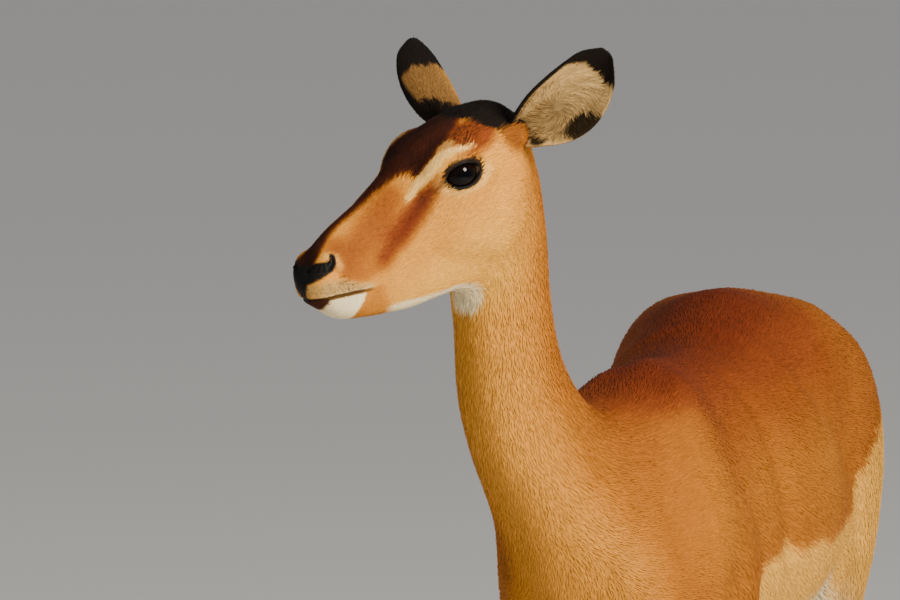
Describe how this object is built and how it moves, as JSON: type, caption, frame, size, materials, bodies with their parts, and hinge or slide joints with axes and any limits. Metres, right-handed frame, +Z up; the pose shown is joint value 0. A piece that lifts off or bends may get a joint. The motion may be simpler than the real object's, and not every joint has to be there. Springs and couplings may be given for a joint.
{
  "type": "impala ewe, still model",
  "caption": "Life-size standing impala ewe, a slender hornless antelope, with her head turned to her right.",
  "frame": {"origin": "on the floor, under the middle of the whole animal's bounding box", "axes": "+Z up, -Y the way her body faces, +X her left side"},
  "size_m": [0.3972, 1.145, 1.225],
  "materials": {
    "coat": "short glossy tawny hair lying flat, darker over the back, white below",
    "eye": "wet, near-black",
    "hoof": "dark horn with a low sheen"
  },
  "bodies": {
    "root": {"head": "coat", "neck": "coat", "trunk": "coat", "tail": "coat", "ear_left": "coat", "ear_right": "coat", "eye_left": "eye", "eye_right": "eye", "foreleg_left_upper": "coat", "foreleg_left_lower": "coat", "foreleg_right_upper": "coat", "foreleg_right_lower": "coat", "hindleg_left_upper": "coat", "hindleg_left_lower": "coat", "hindleg_right_upper": "coat", "hindleg_right_lower": "coat", "forehoof_left_outer": "hoof", "forehoof_left_inner": "hoof", "forehoof_right_outer": "hoof", "forehoof_right_inner": "hoof", "hindhoof_left_outer": "hoof", "hindhoof_left_inner": "hoof", "hindhoof_right_outer": "hoof", "hindhoof_right_inner": "hoof"}
  },
  "joints": []
}
